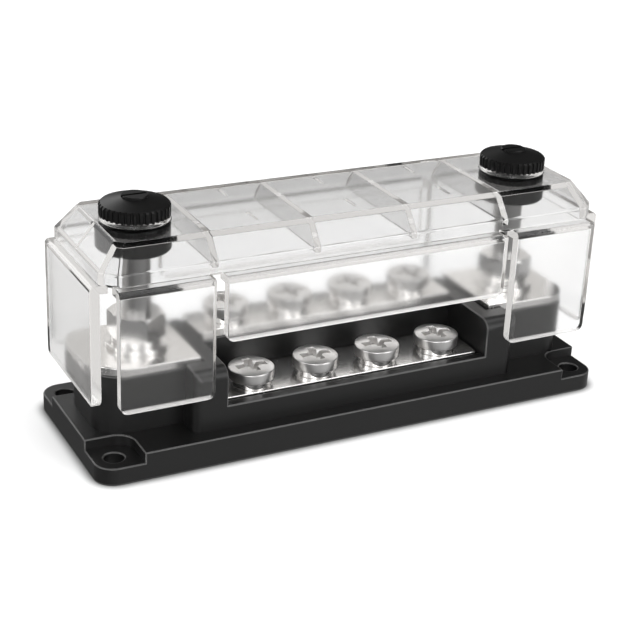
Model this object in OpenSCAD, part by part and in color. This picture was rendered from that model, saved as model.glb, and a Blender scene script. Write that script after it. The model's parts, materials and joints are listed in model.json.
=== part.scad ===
// Bus bar: two studs and two rows of terminal screws on a moulded base, under a clear cover.
// Length lies along X, the open terminal bay faces -Y, and the base stands on Z = 0.

/* [Base plate] */
// Length of the base plate
base_len = 130; // [118:0.5:160]
// Width of the base plate
base_wid = 43.6; // [43:0.2:52]
// Thickness of the base plate
base_h = 6.6; // [5:0.1:8]
// Outer corner radius of the base plate
base_r = 4.6; // [2:0.2:6]
// Length of a corner recess
recess_len = 10.3; // [8:0.1:11.5]
// Width of a corner recess
recess_wid = 10.4; // [8:0.1:11]
// Depth of a corner recess
recess_depth = 2.5; // [1:0.1:3.5]
// Inner corner radius of a recess
recess_r = 4.2; // [2:0.1:6]
// Distance of a mounting hole from the end of the plate
hole_end = 4.9; // [4:0.1:6]
// Distance of a mounting hole from the side of the plate
hole_side = 5.1; // [4:0.1:6]
// Diameter of a mounting hole
hole_d = 4.6; // [3.5:0.1:5.5]

/* [Towers and bay] */
// Distance from the end of the plate to the end of a tower
tower_set = 3.6; // [3:0.1:5]
// Width of the towers and the deck
deck_wid = 23.4; // [22.6:0.1:26]
// Height of the deck that carries the upper plates
deck_h = 20.5; // [18:0.1:24]
// Corner radius of the towers
tower_r = 6.5; // [3:0.1:8]
// Clear length of the terminal bay
bay_len = 67.4; // [64:0.2:70]
// Distance of the bay's rear wall from the centre line
bay_rear = 0.3; // [0.2:0.1:1]
// Height of the bay floor
bay_floor = 10.5; // [9:0.1:13]
// Height of the front lip over the bay floor
lip_h = 1.7; // [0.8:0.1:1.9]
// Width of the front lip
lip_w = 2.7; // [2:0.1:3.2]
// Thickness of a bay side wall
wall_t = 8.1; // [6:0.1:9]
// Distance of the bay's front face from the centre line
bay_front = 18.1; // [17.9:0.1:20]
// Height of walls and ribs over the deck
wall_rise = 1.0; // [0.5:0.1:1.5]
// Radius along the top front edge of the walls
wall_round = 2.8; // [1:0.1:4]
// Vertical corner radius of the bay block
block_r = 2.2; // [1:0.1:3]
// Thickness of the rib between tower and deck plates
rib_t = 3.4; // [2.5:0.1:4]

/* [Plates] */
// Thickness of the tinned plates
bar_t = 2.0; // [1.5:0.1:3]
// Gap between a plate and the wall beside it
bar_gap = 0.4; // [0.2:0.1:0.8]
// Setback of a plate from the edge of the moulding under it
bar_set = 0.2; // [0.1:0.1:0.8]
// Gap between an end plate and its rib
end_gap = 0.9; // [0.3:0.1:1.5]
// Corner radius of the deck and bay plates
bar_r = 0.8; // [0.4:0.1:1.5]
// Thickness of the link plate under the base
link_t = 2.0; // [1.5:0.1:2.4]
// Margin of the link plate past the studs
link_end = 7.3; // [6.8:0.1:8]
// Half width of the link plate's arms under the studs
link_arm = 8.2; // [7.8:0.1:9]
// Margin of the link plate beside the screw rows
link_side = 5.2; // [4.8:0.1:5.6]
// Thickness of the bottom plate
bottom_t = 1.5; // [1:0.1:2]
// Gap round the link plate and the bottom plate
pocket_gap = 0.2; // [0.1:0.1:0.4]

/* [Studs] */
// Thread diameter of a stud
stud_d = 6.35; // [5:0.05:8]
// Distance of a stud from the end of its tower
stud_end = 12.7; // [12.6:0.1:18]
// Width across flats of the stud head
stud_head_af = 13; // [11:0.5:13.5]
// Thickness of the stud head
stud_head_h = 3.1; // [2.5:0.1:3.5]
// Outer diameter of the flat washer
flat_od = 14.2; // [13:0.2:17]
// Thickness of the flat washer
flat_t = 1.1; // [0.8:0.1:2]
// Outer diameter of the spring washer
spring_od = 11.2; // [10.4:0.2:12.8]
// Thickness of the spring washer
spring_t = 1.3; // [1:0.1:2.4]
// Width of the split in a spring washer
split_w = 1.0; // [0.6:0.1:1.6]
// Width across flats of the hex nut
nut_af = 11.2; // [10.5:0.1:13]
// Height of the hex nut
nut_h = 5.7; // [5:0.1:7.5]
// Radial clearance of a thread
thread_gap = 0.08; // [0.04:0.01:0.1]
// Radial clearance of a loose hole
hole_gap = 0.3; // [0.2:0.05:0.4]

/* [Terminal screws] */
// Thread diameter of a terminal screw
screw_d = 5; // [4:0.5:5.5]
// Diameter of the screw head
head_d = 10.7; // [9:0.1:11.5]
// Height of the head's straight side
head_h = 2.6; // [2.2:0.1:3.2]
// Rise of the domed head top
head_dome = 0.5; // [0.3:0.05:0.8]
// Radius of the head's upper edge
head_round = 0.3; // [0.2:0.1:0.8]
// Outer diameter of the lock washer
lock_od = 9.2; // [8.4:0.1:10]
// Thickness of the lock washer
lock_t = 1.6; // [1:0.1:2]
// Length of the lower screws under the washer's foot
lower_len = 5.2; // [4:0.1:5.6]
// Length of the upper screws under the washer's foot
upper_len = 9; // [7:0.5:14]
// Distance between neighbouring screws
screw_pitch = 16.33; // [14.5:0.1:17.5]
// Distance of the lower row in front of the centre line
lower_row = 9.8; // [9.2:0.1:10]
// Distance of the upper row behind the centre line
upper_row = 5.8; // [5.4:0.1:6]
// Width of the slot in the screw head
slot_w = 1.8; // [1:0.1:2.4]
// Length of the slot in the screw head
slot_len = 7.2; // [5:0.1:8.4]
// Length of the cross arm in the screw head
cross_len = 6.4; // [4:0.1:7.5]
// Diameter of the recess's tapered core at the top
core_d = 3.6; // [2.6:0.1:4]
// Depth of the recess in the screw head
slot_depth = 1.5; // [0.8:0.1:1.9]
// Diameter of a tapped post
post_d = 8; // [7:0.2:8.6]

/* [Cover] */
// Wall thickness of the roof and rim
cover_t = 2.0; // [1.6:0.1:2.4]
// Height of the flat roof over the deck
roof_rise = 31.9; // [28:0.1:36]
// Sideways run of the sloping roof faces
slope_run = 4.5; // [3:0.1:5]
// Drop of the sloping roof faces
slope_drop = 5.5; // [4:0.1:6]
// Height of the upright rim
rim_h = 2.9; // [2:0.1:3.5]
// Corner cut of the rim
rim_cut = 3.4; // [2:0.1:4]
// Corner cut of the flat roof
roof_cut = 1.4; // [0.8:0.1:2]
// Gap between the end flaps and the towers
end_clear = 0.7; // [0.4:0.1:1.5]
// Gap between the front flaps and the bay block
front_clear = 0.3; // [0.3:0.1:1]
// Setback of the rim from the front flaps' inner face
rim_set = 0.5; // [0.3:0.1:0.8]
// Distance of the rim's end past the end flaps' inner face
rim_out = 0.2; // [0:0.1:0.6]
// Thickness of a flap
flap_t = 2.3; // [1.8:0.1:2.6]
// Thickness of the ledge that carries a flap
ledge_t = 2.0; // [1.5:0.1:2.5]
// Height of the long flaps' lower edge over the plate
long_clear = 9.1; // [8:0.1:12]
// Height of the middle flap's lower edge over the deck
mid_clear = 8.2; // [7.6:0.1:11]
// Half distance between the gaps beside the middle flap
split_x = 36.7; // [34:0.1:38]
// Width of the gap between two flaps
flap_gap = 2.7; // [2:0.1:3.5]
// Gap from a long flap to the end of the rim
corner_x = 2.5; // [1.5:0.1:3.5]
// Gap from an end flap to the side of the rim
corner_y = 2.8; // [1.5:0.1:3.5]
// Corner radius at the foot of a flap
flap_r = 2.2; // [1:0.1:4]
// Bevel round the outer face of a flap
flap_bevel = 0.6; // [0.3:0.1:0.9]
// Thickness of a rib across the room under the roof
web_t = 1.3; // [0.8:0.1:2]
// Height of a rib, from the roof's outer face down
web_h = 7.2; // [6.6:0.1:8]
// Depth of a line or tick mark in the roof
mark_depth = 0.5; // [0.3:0.05:0.8]
// Length of a tick mark on the roof
tick_len = 5.0; // [3:0.1:6]
// Width of a tick mark
tick_w = 0.8; // [0.5:0.1:1.2]
// Distance of a tick mark from the centre line
tick_from = 5.6; // [4:0.1:6]

/* [Knobs] */
// Edge break of knobs, collars and stud ends
edge_break = 0.4; // [0.2:0.1:0.6]
// Diameter of the knurled rim
knob_d = 15.7; // [14:0.1:16.4]
// Height of the knurled rim
knob_rim = 2.7; // [2:0.1:4]
// Rise of the knob's conical top
knob_rise = 1.2; // [0.6:0.1:2]
// Diameter of the raised button
button_d = 6.0; // [4:0.1:7]
// Height of the raised button
button_h = 0.5; // [0.3:0.1:1]
// Depth of the coin slot
coin_depth = 0.5; // [0.3:0.1:0.8]
// Width of the coin slot
coin_w = 0.9; // [0.6:0.1:1.4]
// Height of the cover's raised ring that a knob sits on
seat_h = 0.9; // [0.6:0.1:1.5]
// Diameter of the knob's plug in the roof hole
plug_d = 12; // [11.6:0.1:13]
// Diameter of the knob's shank
shank_d = 11; // [10:0.1:11.6]
// Number of flutes in the rim
flutes = 36; // [24:1:40]
// Width of a flute
flute_w = 0.8; // [0.5:0.05:1]
// Depth of a flute
flute_depth = 0.5; // [0.3:0.05:0.7]
// Depth of the stud's bore into the knob above the roof
bore_in = 2.4; // [1:0.1:3]
// Height of the collar under the roof
collar_h = 5.2; // [3:0.1:7]
// Running gap between collar and roof
collar_gap = 0.1; // [0.05:0.05:0.2]

/* [Hidden] */
$fn = 48;
// A cut runs this far past the face it opens
past = 1;
base_x = base_len / 2;
base_y = base_wid / 2;
tower_x = base_x - tower_set;
deck_y = deck_wid / 2;
bay_x = bay_len / 2;
block_x = bay_x + wall_t;
rib_x = bay_x + rib_t;
wall_top = deck_h + wall_rise;
lip_top = bay_floor + lip_h;
bar_top = deck_h + bar_t;
bay_top = bay_floor + bar_t;
stud_x = tower_x - stud_end;
pocket_h = bottom_t + stud_head_h + link_t;
link_z = bottom_t + stud_head_h;
link_x = stud_x + link_end;
row_x = 1.5 * screw_pitch + link_side;
link_front = lower_row + link_side;
link_back = upper_row + link_side;
nut_z = bar_top + flat_t + spring_t;
roof_z = deck_h + roof_rise;
slope_z = roof_z - slope_drop;
rim_z = slope_z - rim_h;
flap_x = tower_x + end_clear;
flap_y = bay_front + front_clear;
rim_y = flap_y - rim_set;
rim_x = flap_x + rim_out;
roof_x = rim_x - slope_run;
roof_y = rim_y - slope_run;
hip_rim = (rim_x + rim_y - rim_cut) / sqrt(2);
hip_top = (roof_x + roof_y - roof_cut) / sqrt(2);
ledge_lap = 0.2;
ledge_z = rim_z + ledge_lap;
long_z = base_h + long_clear;
mid_z = deck_h + mid_clear;
long_from = split_x + flap_gap / 2;
long_to = rim_x - corner_x;
web_pitch = 2 * split_x / 3;
knob_z = roof_z + seat_h;
stud_top = roof_z + bore_in - hole_gap;
collar_z = roof_z - cover_t - collar_gap;

// Places of the screw rows along X
function screw_x(i) = (i - 2.5) * screw_pitch;
// Half width of an inset roof profile at the inset's own flat top
function in_top(half_rim, half_top, t) =
    half_top + t * (half_rim - half_top) / slope_drop - t / sin(atan2(slope_drop, half_rim - half_top));
// Drop of an inset roof profile's slope from the outer roof
function in_drop(half_rim, half_top, t) =
    (half_rim - t - half_top + t / sin(atan2(slope_drop, half_rim - half_top)))
    * slope_drop / (half_rim - half_top);

// Rectangle about the origin with round corners
module round_rect(w, d, r) {
    square([w - 2 * r, d], center = true);
    square([w, d - 2 * r], center = true);
    for (x = [-1, 1], y = [-1, 1]) translate([x * (w / 2 - r), y * (d / 2 - r)]) circle(r);
}

// Outline of a corner recess in the corner at +X +Y
module recess_outline() {
    x = base_x - recess_len;
    y = base_y - recess_wid;
    translate([x + recess_r, y]) square([recess_len - recess_r + past, recess_wid + past]);
    translate([x, y + recess_r]) square([recess_len + past, recess_wid - recess_r + past]);
    translate([x + recess_r, y + recess_r]) circle(recess_r);
}

// Side view of the bay walls, with the round top front edge
module wall_side() {
    translate([-bay_front, 0]) square([bay_front - deck_y, wall_top - wall_round]);
    translate([-bay_front + wall_round, 0]) square([bay_front - deck_y - wall_round, wall_top]);
    translate([-bay_front + wall_round, wall_top - wall_round]) circle(wall_round);
}

// Plan view of the bay block, with round front corners
module block_plan() {
    translate([-block_x + block_r, -bay_front]) square([2 * (block_x - block_r), bay_front]);
    translate([-block_x, -bay_front + block_r]) square([2 * block_x, bay_front - block_r]);
    for (s = [-1, 1]) translate([s * (block_x - block_r), -bay_front + block_r]) circle(block_r);
}

// Plan view of the link plate, grown by g
module link_plan(g) {
    translate([-row_x - g, -link_front - g]) square([2 * (row_x + g), link_front + link_back + 2 * g]);
    translate([-link_x - g, -link_arm - g]) square(2 * [link_x + g, link_arm + g]);
}

module base() {
    color([0.10, 0.10, 0.11]) difference() {
        union() {
            linear_extrude(base_h) round_rect(base_len, base_wid, base_r);
            linear_extrude(deck_h) round_rect(2 * tower_x, deck_wid, tower_r);
            intersection() {
                linear_extrude(wall_top + past) block_plan();
                translate([-block_x, 0, 0]) rotate([90, 0, 90]) linear_extrude(2 * block_x) wall_side();
            }
            for (s = [-1, 1]) translate([s * (bay_x + rib_t / 2), 0, wall_top / 2])
                cube([rib_t, deck_wid, wall_top], center = true);
        }
        // recessed mounting corners
        for (x = [0, 1], y = [0, 1]) mirror([x, 0, 0]) mirror([0, y, 0]) {
            translate([0, 0, base_h - recess_depth]) linear_extrude(recess_depth + past) recess_outline();
            translate([base_x - hole_end, base_y - hole_side, -past])
                cylinder(d = hole_d, h = base_h + 2 * past);
        }
        // terminal bay behind its low lip
        translate([-bay_x, -bay_front - past, lip_top])
            cube([bay_len, bay_front + past - bay_rear, wall_top]);
        translate([-bay_x, -bay_front + lip_w, bay_floor])
            cube([bay_len, bay_front - lip_w - bay_rear, wall_top]);
        // pocket in the underside for the link plate and stud heads
        translate([0, 0, -past]) linear_extrude(pocket_h + past) link_plan(pocket_gap);
        for (s = [-1, 1]) translate([s * stud_x, 0, 0])
            cylinder(d = stud_d + 2 * hole_gap, h = deck_h + past);
        for (i = [1:4]) {
            translate([screw_x(i), -lower_row, 0]) cylinder(d = post_d + 2 * thread_gap, h = bay_floor + past);
            translate([screw_x(i), upper_row, 0]) cylinder(d = post_d + 2 * thread_gap, h = deck_h + past);
        }
    }
}

module bottom_plate() {
    color([0.13, 0.13, 0.14]) linear_extrude(bottom_t) link_plan(0);
}

module link_plate() {
    color([0.80, 0.79, 0.76]) difference() {
        translate([0, 0, link_z]) linear_extrude(link_t) link_plan(0);
        for (s = [-1, 1]) translate([s * stud_x, 0, 0])
            cylinder(d = stud_d + 2 * hole_gap, h = link_z + link_t + past);
    }
}

module lower_bar() {
    depth = bay_front - lip_w - bay_rear - 2 * bar_gap;
    color([0.80, 0.79, 0.76]) difference() {
        translate([0, -bay_rear - bar_gap - depth / 2, bay_floor])
            linear_extrude(bar_t) round_rect(bay_len - 2 * bar_gap, depth, bar_r);
        for (i = [1:4]) translate([screw_x(i), -lower_row, bay_floor - past])
            cylinder(d = screw_d + 2 * hole_gap, h = bar_t + 2 * past);
    }
}

module upper_bar() {
    depth = deck_y - bar_set + bay_rear - bar_set;
    color([0.80, 0.79, 0.76]) difference() {
        translate([0, -bay_rear + bar_set + depth / 2, deck_h])
            linear_extrude(bar_t) round_rect(bay_len - 2 * bar_gap, depth, bar_r);
        for (i = [1:4]) translate([screw_x(i), upper_row, deck_h - past])
            cylinder(d = screw_d + 2 * hole_gap, h = bar_t + 2 * past);
    }
}

module end_bar(side) {
    color([0.80, 0.79, 0.76]) difference() {
        translate([0, 0, deck_h]) linear_extrude(bar_t) intersection() {
            round_rect(2 * (tower_x - bar_set), deck_wid - 2 * bar_set, tower_r - bar_set);
            translate([side > 0 ? rib_x + end_gap : -tower_x, -deck_y])
                square([tower_x - rib_x - end_gap, deck_wid]);
        }
        translate([side * stud_x, 0, deck_h - past])
            cylinder(d = stud_d + 2 * hole_gap, h = bar_t + 2 * past);
    }
}
module end_bar_left() { end_bar(-1); }
module end_bar_right() { end_bar(1); }

module stud(side) {
    color([0.74, 0.74, 0.73]) translate([side * stud_x, 0, 0]) {
        translate([0, 0, bottom_t]) cylinder(d = stud_head_af / cos(30), h = stud_head_h, $fn = 6);
        translate([0, 0, link_z]) cylinder(d = stud_d, h = stud_top - link_z - edge_break);
        translate([0, 0, stud_top - edge_break])
            cylinder(d1 = stud_d, d2 = stud_d - 2 * edge_break, h = edge_break);
    }
}
module stud_left() { stud(-1); }
module stud_right() { stud(1); }

module flat_washer(side) {
    color([0.76, 0.76, 0.75]) translate([side * stud_x, 0, bar_top]) difference() {
        cylinder(d = flat_od, h = flat_t);
        translate([0, 0, -past]) cylinder(d = stud_d + 2 * hole_gap, h = flat_t + 2 * past);
    }
}
module flat_washer_left() { flat_washer(-1); }
module flat_washer_right() { flat_washer(1); }

// Split ring, with its split towards the back
module split_ring(od, id, t) {
    difference() {
        cylinder(d = od, h = t);
        translate([0, 0, -past]) cylinder(d = id, h = t + 2 * past);
        translate([-split_w / 2, 0, -past]) cube([split_w, od, t + 2 * past]);
    }
}

module spring_washer(side) {
    color([0.70, 0.70, 0.69]) translate([side * stud_x, 0, bar_top + flat_t])
        split_ring(spring_od, stud_d + 2 * hole_gap, spring_t);
}
module spring_washer_left() { spring_washer(-1); }
module spring_washer_right() { spring_washer(1); }

// Hexagon with flats towards the ends of the base, its corners cut by a cone at both ends
module hex_nut(side) {
    corner = nut_af / cos(30) / 2;
    fall = (corner - nut_af / 2) * tan(30);
    color([0.72, 0.72, 0.71]) translate([side * stud_x, 0, nut_z]) difference() {
        intersection() {
            rotate([0, 0, 30]) cylinder(r = corner, h = nut_h, $fn = 6);
            rotate_extrude() polygon([[0, 0], [nut_af / 2, 0], [corner, fall], [corner, nut_h - fall],
                                      [nut_af / 2, nut_h], [0, nut_h]]);
        }
        translate([0, 0, -past]) cylinder(d = stud_d + 2 * thread_gap, h = nut_h + 2 * past);
    }
}
module hex_nut_left() { hex_nut(-1); }
module hex_nut_right() { hex_nut(1); }

// Tapped post from the link plate up to the foot of a plate
module insert(x, y, top) {
    color([0.72, 0.58, 0.30]) translate([x, y, pocket_h]) difference() {
        cylinder(d = post_d, h = top - pocket_h);
        translate([0, 0, -past]) cylinder(d = screw_d + 2 * thread_gap, h = top - pocket_h + 2 * past);
    }
}
module lower_insert(i) { insert(screw_x(i), -lower_row, bay_floor); }
module upper_insert(i) { insert(screw_x(i), upper_row, deck_h); }

module lock_washer(x, y, z) {
    color([0.78, 0.78, 0.77]) translate([x, y, z]) split_ring(lock_od, screw_d + 2 * hole_gap, lock_t);
}
module lower_washer(i) { lock_washer(screw_x(i), -lower_row, bay_top); }
module upper_washer(i) { lock_washer(screw_x(i), upper_row, bar_top); }

// Pan-head screw with a slot and a cross arm, its head standing on Z = 0
module screw(x, y, z, len) {
    dome_r = (head_d * head_d / 4 + head_dome * head_dome) / (2 * head_dome);
    top = head_h + head_dome;
    half = head_d / 2;
    color([0.76, 0.76, 0.75]) translate([x, y, z + lock_t]) difference() {
        union() {
            intersection() {
                rotate_extrude() polygon(concat([[0, 0], [half, 0]],
                    [for (a = [0:20:60]) [half - head_round * (1 - cos(a)), head_h - head_round * (1 - sin(a))]],
                    [[0, head_h + half * tan(30)]]));
                translate([0, 0, top - dome_r]) sphere(dome_r, $fn = 96);
            }
            translate([0, 0, -lock_t - len]) cylinder(d = screw_d, h = lock_t + len);
        }
        translate([-slot_len / 2, -slot_w / 2, top - slot_depth]) cube([slot_len, slot_w, slot_depth + past]);
        translate([-slot_w / 2, -cross_len / 2, top - slot_depth]) cube([slot_w, cross_len, slot_depth + past]);
        translate([0, 0, top - slot_depth])
            cylinder(d1 = slot_w, d2 = core_d, h = slot_depth);
    }
}
module lower_screw(i) { screw(screw_x(i), -lower_row, bay_top, lower_len); }
module upper_screw(i) { screw(screw_x(i), upper_row, bar_top, upper_len); }

// Prism of one roof profile, inset by t, running across the direction given by the angle
module roof_prism(angle, half_rim, half_top, t) {
    low = rim_z - (t > 0 ? ledge_t + past : 0);
    rotate([0, 0, angle]) rotate([90, 0, 0]) linear_extrude(2 * base_len, center = true) polygon([
        [-half_rim + t, low], [half_rim - t, low], [half_rim - t, roof_z - in_drop(half_rim, half_top, t)],
        [in_top(half_rim, half_top, t), roof_z - t], [-in_top(half_rim, half_top, t), roof_z - t],
        [-half_rim + t, roof_z - in_drop(half_rim, half_top, t)]]);
}

// Hip roof and rim as one solid, inset by t on every face
module roof_form(t) {
    intersection() {
        roof_prism(0, rim_x, roof_x, t);
        roof_prism(90, rim_y, roof_y, t);
        roof_prism(45, hip_rim, hip_top, t);
        roof_prism(-45, hip_rim, hip_top, t);
    }
}

// Flap with its ledge, on the -Y side: w wide, foot at z, inner face at y, rim at y_rim
module flap(w, z, y, y_rim) {
    out = y + flap_t;
    intersection() {
        translate([-w / 2, 0, 0]) rotate([90, 0, 90]) linear_extrude(w) polygon([
            [-y, z], [-y, ledge_z - ledge_t], [-y_rim + cover_t, ledge_z - ledge_t],
            [-y_rim + cover_t, ledge_z], [-out + flap_bevel, ledge_z], [-out, ledge_z - flap_bevel],
            [-out, z + flap_bevel], [-out + flap_bevel, z]]);
        rotate([90, 0, 0]) linear_extrude(out + past) union() {
            translate([-w / 2, z + flap_r]) square([w, ledge_z - z]);
            translate([-w / 2 + flap_r, z]) square([w - 2 * flap_r, ledge_z - z]);
            for (s = [-1, 1]) translate([s * (w / 2 - flap_r), z + flap_r]) circle(flap_r);
        }
    }
}

module cover() {
    color([0.92, 0.92, 0.92, 0.35]) difference() {
        union() {
            difference() {
                roof_form(0);
                // room under the roof, parted by ribs
                difference() {
                    roof_form(cover_t);
                    for (k = [-1.5, -0.5, 0.5, 1.5])
                        translate([k * web_pitch - web_t / 2, -base_wid, roof_z - web_h])
                            cube([web_t, 2 * base_wid, web_h]);
                }
                // line down the middle of each end slope
                for (s = [-1, 1]) difference() {
                    translate([s * (roof_x + slope_run / 2) - slope_run / 2, -tick_w / 2, slope_z])
                        cube([slope_run, tick_w, slope_drop + past]);
                    roof_form(mark_depth);
                }
                // tick marks between the ribs
                for (k = [-1, 0, 1], s = [-1, 1])
                    translate([k * web_pitch, s * (tick_from + tick_len / 2), roof_z])
                        cube([tick_w, tick_len, 2 * mark_depth], center = true);
            }
            for (m = [0, 1]) mirror([0, m, 0]) {
                flap(2 * (split_x - flap_gap / 2), mid_z, flap_y, rim_y);
                for (s = [-1, 1]) translate([s * (long_from + long_to) / 2, 0, 0])
                    flap(long_to - long_from, long_z, flap_y, rim_y);
            }
            for (a = [-90, 90]) rotate([0, 0, a]) flap(2 * (rim_y - corner_y), long_z, flap_x, rim_x);
            // raised rings under the knobs
            for (s = [-1, 1]) translate([s * stud_x, 0, roof_z - cover_t / 2]) {
                cylinder(d = knob_d, h = cover_t / 2 + seat_h - edge_break);
                translate([0, 0, cover_t / 2 + seat_h - edge_break])
                    cylinder(d1 = knob_d, d2 = knob_d - 2 * edge_break, h = edge_break);
            }
        }
        for (s = [-1, 1]) translate([s * stud_x, 0, roof_z - cover_t - past])
            cylinder(d = plug_d + 2 * hole_gap, h = cover_t + seat_h + 2 * past);
    }
}

module knob(side) {
    bore = stud_d / 2 + thread_gap;
    rim = knob_d / 2;
    top = knob_z + knob_rim;
    button = top + knob_rise + button_h;
    color([0.07, 0.07, 0.07]) translate([side * stud_x, 0, 0]) difference() {
        rotate_extrude() polygon([
            [bore, collar_z - collar_h], [shank_d / 2, collar_z - collar_h], [shank_d / 2, collar_z],
            [plug_d / 2, collar_z], [plug_d / 2, knob_z], [rim, knob_z],
            [rim, top - edge_break],
            [rim - edge_break, top], [button_d / 2, top + knob_rise], [button_d / 2, button - edge_break / 2],
            [button_d / 2 - edge_break / 2, button], [0, button], [0, roof_z + bore_in], [bore, roof_z + bore_in]]);
        for (i = [0:flutes - 1]) rotate([0, 0, (i + 0.5) * 360 / flutes])
            translate([rim - flute_depth + flute_w / 2, 0, knob_z - past])
                cylinder(d = flute_w, h = knob_rim + 2 * past, $fn = 16);
        translate([-button_d, -coin_w / 2, button - coin_depth]) cube([2 * button_d, coin_w, coin_depth + past]);
    }
}
module knob_left() { knob(-1); }
module knob_right() { knob(1); }

module collar(side) {
    bore = shank_d / 2 + thread_gap;
    rim = knob_d / 2;
    low = collar_z - collar_h;
    color([0.09, 0.09, 0.09]) translate([side * stud_x, 0, 0]) rotate_extrude() polygon([
        [bore, low], [rim - edge_break, low], [rim, low + edge_break], [rim, collar_z - edge_break],
        [rim - edge_break, collar_z], [bore, collar_z]]);
}
module collar_left() { collar(-1); }
module collar_right() { collar(1); }

base();
bottom_plate();
link_plate();
lower_bar();
upper_bar();
end_bar_left();
end_bar_right();
stud_left();
stud_right();
flat_washer_left();
flat_washer_right();
spring_washer_left();
spring_washer_right();
hex_nut_left();
hex_nut_right();
lower_insert(1);  // lower_insert_1
lower_insert(2);  // lower_insert_2
lower_insert(3);  // lower_insert_3
lower_insert(4);  // lower_insert_4
upper_insert(1);  // upper_insert_1
upper_insert(2);  // upper_insert_2
upper_insert(3);  // upper_insert_3
upper_insert(4);  // upper_insert_4
lower_washer(1);  // lower_washer_1
lower_washer(2);  // lower_washer_2
lower_washer(3);  // lower_washer_3
lower_washer(4);  // lower_washer_4
upper_washer(1);  // upper_washer_1
upper_washer(2);  // upper_washer_2
upper_washer(3);  // upper_washer_3
upper_washer(4);  // upper_washer_4
lower_screw(1);  // lower_screw_1
lower_screw(2);  // lower_screw_2
lower_screw(3);  // lower_screw_3
lower_screw(4);  // lower_screw_4
upper_screw(1);  // upper_screw_1
upper_screw(2);  // upper_screw_2
upper_screw(3);  // upper_screw_3
upper_screw(4);  // upper_screw_4
cover();
knob_left();
knob_right();
collar_left();
collar_right();
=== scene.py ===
"""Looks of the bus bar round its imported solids: clear cover, black base, tinned plates, plated fittings."""

import json
import math

import bmesh
import bpy
import numpy as np
from mathutils import Matrix, Vector

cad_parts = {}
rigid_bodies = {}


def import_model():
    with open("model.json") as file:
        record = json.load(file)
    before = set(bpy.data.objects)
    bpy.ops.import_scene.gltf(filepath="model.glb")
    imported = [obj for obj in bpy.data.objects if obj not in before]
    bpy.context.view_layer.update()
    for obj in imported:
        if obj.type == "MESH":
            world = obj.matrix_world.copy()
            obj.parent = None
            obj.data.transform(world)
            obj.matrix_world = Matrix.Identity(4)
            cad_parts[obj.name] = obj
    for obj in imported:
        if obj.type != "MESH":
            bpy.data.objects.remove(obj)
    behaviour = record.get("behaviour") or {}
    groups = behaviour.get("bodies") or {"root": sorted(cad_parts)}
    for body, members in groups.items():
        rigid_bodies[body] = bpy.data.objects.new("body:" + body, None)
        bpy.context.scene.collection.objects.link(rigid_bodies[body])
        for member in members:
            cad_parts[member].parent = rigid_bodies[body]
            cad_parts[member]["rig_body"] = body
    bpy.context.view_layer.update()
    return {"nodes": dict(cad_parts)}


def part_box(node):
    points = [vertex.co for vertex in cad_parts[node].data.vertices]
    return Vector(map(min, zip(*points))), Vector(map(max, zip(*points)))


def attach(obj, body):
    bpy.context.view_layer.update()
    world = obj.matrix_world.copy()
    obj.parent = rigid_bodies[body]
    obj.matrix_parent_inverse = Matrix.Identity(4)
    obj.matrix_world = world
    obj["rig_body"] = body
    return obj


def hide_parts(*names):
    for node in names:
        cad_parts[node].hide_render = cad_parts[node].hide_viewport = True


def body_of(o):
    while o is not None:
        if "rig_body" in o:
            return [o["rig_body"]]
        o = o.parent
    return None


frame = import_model()
nodes = frame["nodes"]

mm = 0.001

# Outputs of Blender's Light Path node
camera_ray = 0
shadow_ray = 1
diffuse_depth = 10
glossy_depth = 11
transmission_depth = 13


class Wire:
    """An output socket of a node tree. Python's operators on it add Math nodes to that tree."""

    def __init__(self, tree, socket=None):
        self.tree = tree
        self.socket = socket

    def node(self, kind, settings=None, inputs=None, out=0):
        """Adds a node of that kind, its settings first, then a value or a link for each of its sockets."""
        made = self.tree.nodes.new(kind)
        for key, value in (settings or {}).items():
            setattr(made, key, value)
        for key, value in (inputs or {}).items():
            if isinstance(value, Wire):
                self.tree.links.new(value.socket, made.inputs[key])
            else:
                made.inputs[key].default_value = value
        return Wire(self.tree, made.outputs[out])

    def math(self, operation, *terms):
        """Adds a Math node with that operation on these terms."""
        return self.node("ShaderNodeMath", {"operation": operation}, dict(enumerate(terms)))

    def __add__(self, other):
        return self.math("ADD", self, other)

    def __radd__(self, other):
        return self.math("ADD", other, self)

    def __sub__(self, other):
        return self.math("SUBTRACT", self, other)

    def __rsub__(self, other):
        return self.math("SUBTRACT", other, self)

    def __mul__(self, other):
        return self.math("MULTIPLY", self, other)

    def __rmul__(self, other):
        return self.math("MULTIPLY", other, self)

    def __pow__(self, other):
        return self.math("POWER", self, other)

    def ease(self, low, high):
        """0 below low, 1 above high and a smooth step between them."""
        return self.node(
            "ShaderNodeMapRange",
            {"interpolation_type": "SMOOTHSTEP"},
            {"Value": self, "From Min": low, "From Max": high},
        )

    def blend(self, first, second):
        """A colour that goes from first to second as this value goes from 0 to 1."""
        return self.node(
            "ShaderNodeMix", {"data_type": "RGBA"}, {"Factor": self, 6: first, 7: second}, out=2
        )


def grey(level, warm=0.0):
    """A grey of that level, with its red raised and its blue lowered by the share warm."""
    return (level * (1 + warm), level, level * (1 - warm), 1.0)


def new_finish(name):
    """An empty material and a wire into its tree."""
    mat = bpy.data.materials.new(name)
    mat.use_nodes = True
    mat.node_tree.nodes.clear()
    return mat, Wire(mat.node_tree)


def place_of(wire):
    """The point on the piece, in metres."""
    return wire.node("ShaderNodeTexCoord", out=3)


def along(wire, vector, axis):
    """How far a vector reaches along X, Y or Z, which are axis 0, 1 and 2."""
    return wire.node("ShaderNodeSeparateXYZ", None, {0: vector}, out=axis)


def path_of(wire, output):
    """One output of the Light Path node: the ray's kind, or how often it has bounced in one way."""
    return wire.node("ShaderNodeLightPath", out=output)


def stretched(wire, scale):
    """The point on the piece, scaled per axis, so that a pattern on it draws out."""
    return wire.node("ShaderNodeMapping", None, {"Vector": place_of(wire), "Scale": scale})


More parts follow.
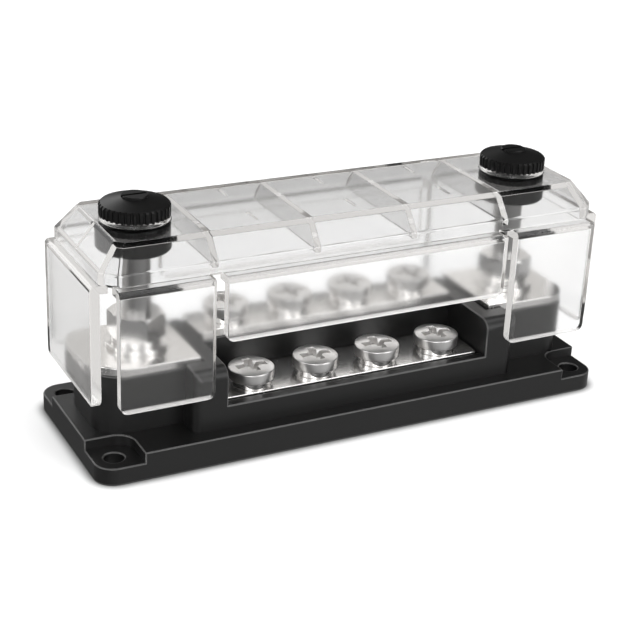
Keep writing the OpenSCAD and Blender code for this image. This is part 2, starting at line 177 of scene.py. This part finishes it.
def noise(wire, scale, detail, vector=None):
    """Noise from 0 to 1 with so many features to the metre."""
    at = place_of(wire) if vector is None else vector
    return wire.node("ShaderNodeTexNoise", None, {"Vector": at, "Scale": scale, "Detail": detail})


def bumped(wire, height, distance):
    """A normal from a height from 0 to 1, that stands for that distance in metres."""
    return wire.node("ShaderNodeBump", None, {"Distance": distance, "Height": height})


def shown(wire, shader):
    """Links a shader to the material's output."""
    end = wire.tree.nodes.new("ShaderNodeOutputMaterial")
    wire.tree.links.new(shader.socket, end.inputs["Surface"])


def black_moulding(name, level, shine, gloss):
    """Black moulded plastic: a fine erosion grain, and shine that drifts a little from place to place."""
    grain = 0.000004
    mat, wire = new_finish(name)
    fine = noise(wire, 9000.0, 3.0)
    drift = noise(wire, 45.0, 3.0)
    colour = (fine * 0.5 + drift * 0.5).blend(grey(level * 0.8), grey(level * 1.25, 0.02))
    shader = wire.node(
        "ShaderNodeBsdfPrincipled",
        None,
        {
            "Base Color": colour,
            "Roughness": shine - 0.05 + drift * 0.08 + fine * 0.04,
            "IOR": 1.47,
            "Specular IOR Level": gloss,
            "Normal": bumped(wire, fine, grain),
        },
    )
    shown(wire, shader)
    return mat


def bright_metal(name, colour, shine, scale, grain):
    """Plated metal: fine drawn-out scratches, and shine and colour that drift from place to place."""
    mat, wire = new_finish(name)
    drawn = noise(wire, 1.0, 3.0, stretched(wire, scale))
    drift = noise(wire, 140.0, 3.0)
    dark = tuple(c * 0.93 for c in colour[:3]) + (1.0,)
    shader = wire.node(
        "ShaderNodeBsdfPrincipled",
        None,
        {
            "Base Color": (drift * 0.6 + drawn * 0.4).blend(dark, colour),
            "Metallic": 1.0,
            "Roughness": shine - 0.04 + drift * 0.05 + drawn * 0.05,
            "Normal": bumped(wire, drawn, grain),
        },
    )
    shown(wire, shader)
    return mat


def clear_moulding(name):
    """Clear plastic: polished roof and rim, frosted flaps with painted white highlights at their feet, and
    lamps' light let through.

    A ray that a piece has mirrored meets the cover as bare air, apart from the outside of the rear flaps.
    """
    flap_top, rim = 0.0436, 0.0446
    slope_top, flat_top = 0.0515, 0.0520
    middle_foot, end_drop, end_from = 0.0287, 0.0130, 0.0367
    mat, wire = new_finish(name)
    height = along(wire, place_of(wire), 2)
    roof = height.ease(flap_top, rim)
    ripple = noise(wire, 160.0, 2.0)
    fine = noise(wire, 2600.0, 2.0)
    frost = 0.13 + fine * 0.02
    polish = 0.09 - height.ease(slope_top, flat_top) * 0.08 + ripple * 0.01
    flap_colour = ripple.blend(grey(0.985), grey(0.995))
    roof_colour = ripple.blend(grey(0.81), grey(0.83))
    shader = wire.node(
        "ShaderNodeBsdfPrincipled",
        None,
        {
            "Base Color": roof.blend(flap_colour, roof_colour),
            "Roughness": frost + (polish - frost) * roof,
            "IOR": 1.49,
            "Transmission Weight": 1.0,
            "Normal": bumped(wire, ripple, 0.000002),
        },
    )
    open_to_lamps = wire.node("ShaderNodeBsdfTransparent", None, {"Color": grey(0.98)})
    mirrored = wire.math("GREATER_THAN", path_of(wire, glossy_depth), 0.5)
    within = wire.math("MODULO", path_of(wire, transmission_depth), 2.0)
    depth = along(wire, place_of(wire), 1)
    rear_flap = (1.0 - roof) * wire.math("GREATER_THAN", depth, 0.0)
    bare = mirrored * (1.0 - rear_flap * (1.0 - within))
    body = wire.node("ShaderNodeMixShader", None, {0: bare, 1: shader, 2: open_to_lamps})
    # A white matt band along the flaps' feet, mixed in at 0.6: a painted highlight where those edges catch
    # light
    off_middle = wire.math("ABSOLUTE", along(wire, place_of(wire), 0))
    foot_z = middle_foot - wire.math("GREATER_THAN", off_middle, end_from) * end_drop
    foot = 1.0 - (height - foot_z).ease(0.0004, 0.0009)
    painted_foot_highlight = wire.node("ShaderNodeBsdfDiffuse", None, {"Color": grey(0.95, 0.01)})
    body = wire.node("ShaderNodeMixShader", None, {0: foot * 0.6, 1: body, 2: painted_foot_highlight})
    lamp = path_of(wire, shadow_ray)
    shown(wire, wire.node("ShaderNodeMixShader", None, {0: lamp, 1: body, 2: open_to_lamps}))
    return mat


# Scratches to the metre along X, Y and Z
rolled = (900.0, 2600.0, 2600.0)
turned = (2400.0, 2400.0, 900.0)
drawn_rod = (300.0, 300.0, 4200.0)

moulding = black_moulding("black_moulding", 0.0040, 0.38, 0.60)
# A paler black for the base's rounded outer edges: a painted highlight along the edges
edge_highlight_moulding = black_moulding("edge_highlight_moulding", 0.050, 0.38, 0.60)
knob_black = black_moulding("knob_black", 0.0040, 0.36, 0.30)
tin = bright_metal("tinned_plate", grey(0.84, 0.015), 0.25, rolled, 0.0000001)
plated = bright_metal("plated_nut", grey(0.82, 0.012), 0.20, turned, 0.0000005)
polished = bright_metal("polished_washer", grey(0.88, 0.012), 0.09, turned, 0.0000001)
satin = bright_metal("satin_screw", grey(0.80, 0.012), 0.30, turned, 0.0000003)
steel = bright_metal("stud_steel", grey(0.42, 0.010), 0.28, drawn_rod, 0.0000015)
brass = bright_metal("post_brass", (0.78, 0.57, 0.28, 1.0), 0.28, drawn_rod, 0.0000015)
clear = clear_moulding("clear_cover")

finish_of = {
    "base": moulding,
    "bottom_plate": moulding,
    "link_plate": tin,
    "lower_bar": tin,
    "upper_bar": tin,
    "end_bar": tin,
    "stud": steel,
    "flat_washer": plated,
    "spring_washer": plated,
    "hex_nut": plated,
    "lower_insert": brass,
    "upper_insert": brass,
    "lower_washer": polished,
    "upper_washer": polished,
    "lower_screw": satin,
    "upper_screw": satin,
    "cover": clear,
    "knob": knob_black,
    "collar": knob_black,
}

# Width in metres over which a piece's edges are rounded
edge_of = {
    "base": 0.00030,
    "lower_bar": 0.00020,
    "upper_bar": 0.00020,
    "end_bar": 0.00020,
    "flat_washer": 0.00015,
    "spring_washer": 0.00015,
    "lower_washer": 0.00015,
    "upper_washer": 0.00015,
    "cover": 0.00018,
    "collar": 0.00015,
}


def merged(mesh, level, gap):
    """The mesh with its double points merged, its faces joined where they turn by less than level, and
    then the points that lie closer together than gap merged too.
    """
    form = bmesh.new()
    form.from_mesh(mesh)
    bmesh.ops.remove_doubles(form, verts=form.verts, dist=0.000001)
    bmesh.ops.dissolve_limit(form, angle_limit=level, verts=form.verts, edges=form.edges)
    bmesh.ops.remove_doubles(form, verts=form.verts, dist=gap)
    form.to_mesh(mesh)
    form.free()
    return mesh


def in_place(name, mesh, sharp):
    """A piece of that mesh in a CAD node's stead, with edges sharp over that angle."""
    mesh.set_sharp_from_angle(angle=sharp)
    piece = bpy.data.objects.new(name + "_shown", mesh)
    bpy.context.scene.collection.objects.link(piece)
    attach(piece, body_of(nodes[name])[0])
    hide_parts(name)
    return piece


def softened(name, width, inner):
    """A copy of a CAD node with its outer edges rounded over that width, and its inner ones if asked.

    An edge is rounded where its faces turn by more than the crease angle. Points closer than the short edge
    are merged first, because a flat face folds where one of its edges is shorter than the rounding.
    """
    flat, short_edge, crease = 0.004, 0.00012, 0.55
    mesh = merged(nodes[name].data.copy(), flat, short_edge)
    mesh.attributes.remove(mesh.attributes["custom_normal"])
    form = bmesh.new()
    form.from_mesh(mesh)
    turn = np.array([edge.calc_face_angle_signed(0.0) for edge in form.edges])
    form.free()
    rounded = abs(turn) > crease if inner else turn > crease
    weight = mesh.attributes.new("bevel_weight_edge", "FLOAT", "EDGE")
    weight.data.foreach_set("value", rounded.astype(np.float32))
    piece = in_place(name, mesh, crease)
    edges = piece.modifiers.new("edges", "BEVEL")
    edges.width = width
    edges.segments = 3
    edges.limit_method = "WEIGHT"
    edges.use_clamp_overlap = False
    level = piece.modifiers.new("level", "WEIGHTED_NORMAL")
    level.weight = 100
    level.keep_sharp = True
    return piece


def eased(depth, width):
    """1 where depth is over half the width, 0 below minus half of it, and a smooth step between them."""
    share = np.clip(depth / width + 0.5, 0.0, 1.0)
    return share * share * (3.0 - 2.0 * share)


def turned_screw(name):
    """A pan-head screw in a CAD screw's box, as a profile turned about the screw's axis.

    Outward from the axis and then down, the profile is a dome that falls with the square of the radius, a
    round rim, a nearly upright side, a round foot, a flat underside and a plain shank. The dome sinks to the
    recess's floor where a point lies in the slot, in the cross arm or in the cone between them, over walls
    that ease across a narrow width.
    """
    head, crown, bend_r, foot_in = 3.1 * mm, 0.5 * mm, 0.3 * mm, 0.4 * mm
    slot_half, arm_half, groove_half, cone_r = 3.6 * mm, 3.2 * mm, 0.9 * mm, 1.8 * mm
    recess, wall = 1.9 * mm, 0.15 * mm
    low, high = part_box(name)
    half = (high.x - low.x) / 2
    top = high.z
    foot = top - head
    bend = np.linspace(0.0, math.pi / 2, 9)
    dome_r = np.linspace(0.0, half - bend_r, 96)
    dome_z = top - crown * (dome_r / half) ** 2
    rim_r = half - bend_r * (1.0 - np.sin(bend[1:]))
    rim_z = dome_z[-1] - bend_r * (1.0 - np.cos(bend[1:]))
    foot_r = half - foot_in + bend_r * np.cos(bend)
    foot_z = foot + bend_r * (1.0 - np.sin(bend))
    shank_r = np.array([2.5, 2.5, 2.2, 0.0]) * mm
    shank_z = np.array([foot, low.z + 0.3 * mm, low.z, low.z])
    radius = np.concatenate((dome_r, rim_r, foot_r, shank_r))[:, None]
    height = np.concatenate((dome_z, rim_z, foot_z, shank_z))[:, None]
    angle = np.linspace(0.0, 2.0 * math.pi, 270, endpoint=False)[None, :]
    east, north = radius * np.cos(angle), radius * np.sin(angle)
    slot = np.minimum(slot_half - abs(east), groove_half - abs(north))
    arm = np.minimum(groove_half - abs(east), arm_half - abs(north))
    cone = np.clip((cone_r - radius) / groove_half, 0.0, 1.0)
    sunk = np.maximum(np.maximum(eased(slot, wall), eased(arm, wall)), cone)
    sunk = sunk * (np.arange(len(radius))[:, None] < len(dome_r))
    height = height + (top - recess - height) * sunk
    middle = (low + high) / 2
    points = np.stack((middle.x + east, middle.y + north, height), axis=-1)
    rows, columns = height.shape
    down = np.arange(rows - 1)[:, None] * columns
    here = np.arange(columns)[None, :]
    beyond = (here + 1) % columns
    corners = (down + here, down + columns + here, down + columns + beyond, down + beyond)
    faces = np.stack(corners, axis=-1).reshape(-1, 4)
    mesh = bpy.data.meshes.new(name + "_turned")
    mesh.from_pydata(points.reshape(-1, 3).tolist(), [], faces.tolist(), shade_flat=False)
    return in_place(name, merged(mesh, 0.0, 0.000001), 0.7)


for name in sorted(nodes):
    kind = next(k for k in sorted(finish_of, key=len, reverse=True) if name.startswith(k))
    if "screw" in kind:
        piece = turned_screw(name)
    elif kind in edge_of:
        piece = softened(name, edge_of[kind], kind != "base")
    else:
        piece = nodes[name]
    piece.data.materials.clear()
    piece.data.materials.append(finish_of[kind])
    if kind == "base":
        # The bevel strips on the base's outer edges take the paler black, a painted edge highlight
        piece.data.materials.append(edge_highlight_moulding)
        piece.modifiers["edges"].material = 1


def pale_floor():
    """A plain square floor just under the part: a painted shadow darkens it near the part, white far off,
    open to mirrored rays.
    """
    half, drop, painted_shadow_reach = 4.0, 0.00005, 0.003
    mat, wire = new_finish("pale_floor")
    soft = noise(wire, 3.0, 2.0)
    # Painted contact shadow: the floor's colour darkens to grey(0.07) where the part lies within a few
    # millimetres
    near = wire.node("ShaderNodeAmbientOcclusion", {"samples": 16}, {"Distance": painted_shadow_reach}, out=1)
    outside_painted_shadow = near.ease(0.30, 1.0)
    far = wire.node("ShaderNodeVectorMath", {"operation": "LENGTH"}, {0: place_of(wire)}, out=1)
    shader = wire.node(
        "ShaderNodeBsdfPrincipled",
        None,
        {
            "Base Color": outside_painted_shadow.blend(grey(0.07), soft.blend(grey(0.90), grey(0.92))),
            "Roughness": 0.9,
            "Specular IOR Level": 0.0,
            "Emission Color": far.ease(0.3, 1.6).blend(grey(0.0), grey(1.0)),
            "Emission Strength": 1.0,
        },
    )
    mirrored = wire.math("MINIMUM", path_of(wire, glossy_depth), 1.0)
    open_floor = wire.node("ShaderNodeBsdfTransparent", None, {"Color": grey(1.0)})
    shown(wire, wire.node("ShaderNodeMixShader", None, {0: mirrored, 1: shader, 2: open_floor}))
    mesh = bpy.data.meshes.new("floor")
    corners = [(-half, -half, -drop), (half, -half, -drop), (half, half, -drop), (-half, half, -drop)]
    mesh.from_pydata(corners, [], [(0, 1, 2, 3)])
    mesh.materials.append(mat)
    floor = bpy.data.objects.new("floor", mesh)
    bpy.context.scene.collection.objects.link(floor)
    floor.visible_glossy = False


def soft_lamp(name, place, aim, size, watts):
    """A rectangular soft lamp at a place, turned to a point."""
    lamp = bpy.data.lights.new(name, "AREA")
    lamp.shape = "RECTANGLE"
    lamp.size, lamp.size_y = size
    lamp.energy = watts
    holder = bpy.data.objects.new(name, lamp)
    bpy.context.scene.collection.objects.link(holder)
    holder.location = place
    holder.rotation_euler = (Vector(aim) - Vector(place)).to_track_quat("-Z", "Y").to_euler()
    holder.visible_glossy = False


def studio_sky():
    """Studio surroundings: a soft box behind, upright strips round the front, a dim top and a low glow.

    Mirrored rays see these. Rays inside or through the clear cover see a paler and warmer room, and the
    background itself is white.
    """
    front_turn, box_turn = 0.4864, 3.89
    dim, front_gain, box_gain, over_gain, white = 0.06, 4.2, 2.2, 2.4, 1.05
    world = bpy.data.worlds.new("studio")
    world.use_nodes = True
    world.node_tree.nodes.clear()
    wire = Wire(world.node_tree)
    way = wire.node("ShaderNodeTexCoord", out=0)
    east, north, up = (along(wire, way, axis) for axis in range(3))
    round_about = wire.math("ARCTAN2", east, 0.0 - north) + front_turn
    strips = 0.08 + (wire.math("COSINE", round_about * 6.0) * 0.5 + 0.5) ** 1.5 * 0.62
    below = (0.0 - up).ease(-0.02, 0.10)
    low_glow = 0.14 + wire.math("SINE", round_about).ease(-0.5, 0.8) * 0.29
    low = below * low_glow * (0.8 + strips * 0.3)
    front_half = wire.math("COSINE", round_about).ease(0.05, 0.55)
    front = front_half * (1.0 - up.ease(0.52, 0.72)) * (1.0 - below)
    behind = wire.math("COSINE", round_about - box_turn).ease(0.80, 0.93)
    box = behind * up.ease(0.10, 0.34) * (1.0 - up.ease(0.50, 0.74))
    over = (east * 0.45 - north * 0.15 + up * 0.88).ease(0.93, 0.975)
    level = dim + low + front * (0.10 + strips) * front_gain + box * box_gain + over * over_gain
    passes = path_of(wire, transmission_depth)
    within = wire.math("MODULO", passes, 2.0)
    matt = wire.math("MINIMUM", path_of(wire, diffuse_depth), 1.0)
    mirrored = wire.math("MINIMUM", path_of(wire, glossy_depth), 1.0)
    straight = wire.math("MINIMUM", passes, 1.0) * (1.0 - mirrored)
    through = wire.math("MAXIMUM", within, straight) * (1.0 - matt)
    pale = 0.44 + strips * 0.30 + (1.0 - up.ease(0.40, 0.60)) * 0.25
    tint = through.blend(grey(1.0), (1.0, 0.98, 0.955, 1.0))
    seen = path_of(wire, camera_ray)
    strength = wire.math("MAXIMUM", level + (pale - level) * through, seen * white)
    sky = wire.node("ShaderNodeBackground", None, {"Color": tint, "Strength": strength})
    end = world.node_tree.nodes.new("ShaderNodeOutputWorld")
    world.node_tree.links.new(sky.socket, end.inputs["Surface"])
    bpy.context.scene.world = world


def photo_camera():
    """A camera at the photograph's place: turned by azimuth, raised by elevation, then rolled."""
    stand = (-0.15773, -0.29163, 0.16846)
    focal_px, frame_px, sensor = 1521.63, 630.0, 36.0
    turn, lift, roll = math.radians(-27.87), math.radians(23.97), math.radians(2.63)
    back = Vector((math.sin(turn) * math.cos(lift), -math.cos(turn) * math.cos(lift), math.sin(lift)))
    level = Vector((math.cos(turn), math.sin(turn), 0.0))
    upright = back.cross(level)
    right = math.cos(roll) * level + math.sin(roll) * upright
    up = math.cos(roll) * upright - math.sin(roll) * level
    lens = bpy.data.cameras.new("camera")
    lens.sensor_width = sensor
    lens.lens = focal_px / frame_px * sensor
    lens.clip_start = 0.01
    lens.clip_end = 20.0
    camera = bpy.data.objects.new("camera", lens)
    bpy.context.scene.collection.objects.link(camera)
    place = Matrix((right, up, back)).transposed().to_4x4()
    place.translation = stand
    camera.matrix_world = place
    bpy.context.scene.camera = camera


pale_floor()
studio_sky()
soft_lamp("over", (0.0, 0.0, 1.50), (0.0, 0.0, 0.0), (2.2, 2.2), 26.0)
photo_camera()
scene = bpy.context.scene
scene.cycles.max_bounces = 32
scene.cycles.transmission_bounces = 32
scene.cycles.glossy_bounces = 24
scene.view_settings.view_transform = "Standard"
scene.view_settings.look = "None"
